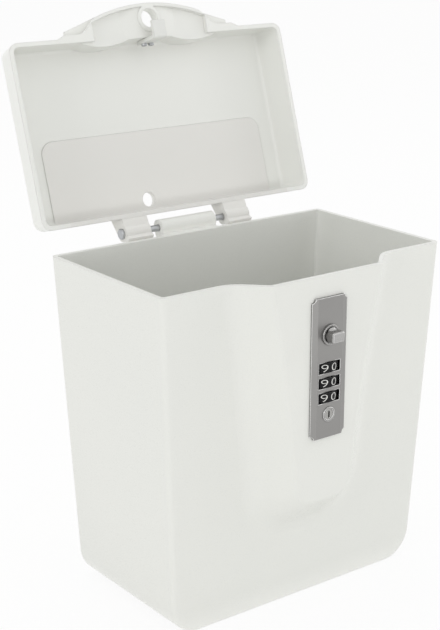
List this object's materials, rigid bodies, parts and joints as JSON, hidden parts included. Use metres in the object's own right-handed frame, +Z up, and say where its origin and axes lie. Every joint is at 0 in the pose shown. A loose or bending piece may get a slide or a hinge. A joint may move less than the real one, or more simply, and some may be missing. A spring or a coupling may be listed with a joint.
{
  "type": "travel safe",
  "caption": "Tapered plastic travel safe with a deep open box, a clamshell lid on rear hinges and a proud front lock panel with number wheels, turn knob and key override.",
  "frame": {"origin": "centre of the flat base, at the height the safe stands on", "axes": "+Z up, +X to the right as seen from the front, the lock panel faces -Y, the hinge is at +Y"},
  "size_m": [0.2, 0.1947, 0.3347],
  "materials": {
    "shell_plastic": "glossy warm white moulded plastic",
    "cover_plastic": "satin white moulded plastic",
    "case_plastic": "black moulded plastic",
    "wheel_plastic": "black with white digits",
    "plate_metal": "satin nickel plate",
    "bright_metal": "polished chrome",
    "key_metal": "nickel plated brass",
    "sleeve_brass": "turned brass",
    "steel": "zinc plated steel"
  },
  "bodies": {
    "safe_body": {"body_shell": "shell_plastic", "hinge_pin": "steel", "inner_cover": "cover_plastic", "cover_screws": "steel", "lock_plate": "plate_metal", "plate_screw": "steel", "case_screws": "steel", "lock_case": "case_plastic", "detent_spring": "steel", "knob_bush": "bright_metal", "bush_nut": "steel", "key_housing": "bright_metal", "key_nut": "steel"},
    "lid": {"lid_shell": "shell_plastic", "keeper": "cover_plastic", "keeper_screws": "steel"},
    "knob_set": {"knob": "bright_metal", "knob_pin": "steel", "spindle": "steel", "latch_cam": "steel"},
    "rod_set": {"lock_rod": "steel", "rod_yoke": "steel"},
    "key_set": {"key_plug": "key_metal", "key_lever": "steel"},
    "dial_1": {"number_wheel_1": "wheel_plastic", "code_sleeve_1": "sleeve_brass"},
    "dial_2": {"number_wheel_2": "wheel_plastic", "code_sleeve_2": "sleeve_brass"},
    "dial_3": {"number_wheel_3": "wheel_plastic", "code_sleeve_3": "sleeve_brass"}
  },
  "joints": [
    {"name": "lid_hinge", "type": "hinge", "parent": "safe_body", "child": "lid", "pos_m": [0, 0.0629, 0.205], "axis": [1, 0, 0], "range_deg": [0, 107.7]},
    {"name": "knob_turn", "type": "hinge", "parent": "safe_body", "child": "knob_set", "pos_m": [0, -0.0708, 0.1684], "axis": [0, -1, 0], "range_deg": [0, 90]},
    {"name": "rod_slide", "type": "slide", "parent": "safe_body", "child": "rod_set", "axis": [0, 0, 1], "range_m": [0, 0.00566]},
    {"name": "key_turn", "type": "hinge", "parent": "safe_body", "child": "key_set", "pos_m": [0, -0.0708, 0.1218], "axis": [0, -1, 0], "range_deg": [0, 90]},
    {"name": "dial_1_turn", "type": "hinge", "parent": "safe_body", "child": "dial_1", "pos_m": [0, -0.06305, 0.1495], "axis": [0, 0, 1], "continuous": true},
    {"name": "dial_2_turn", "type": "hinge", "parent": "safe_body", "child": "dial_2", "pos_m": [0, -0.06305, 0.14075], "axis": [0, 0, 1], "continuous": true},
    {"name": "dial_3_turn", "type": "hinge", "parent": "safe_body", "child": "dial_3", "pos_m": [0, -0.06305, 0.132], "axis": [0, 0, 1], "continuous": true}
  ],
  "couplings": [
    {"joint": "rod_slide", "follows": "knob_turn", "m_per_rad": 0.0036013}
  ]
}
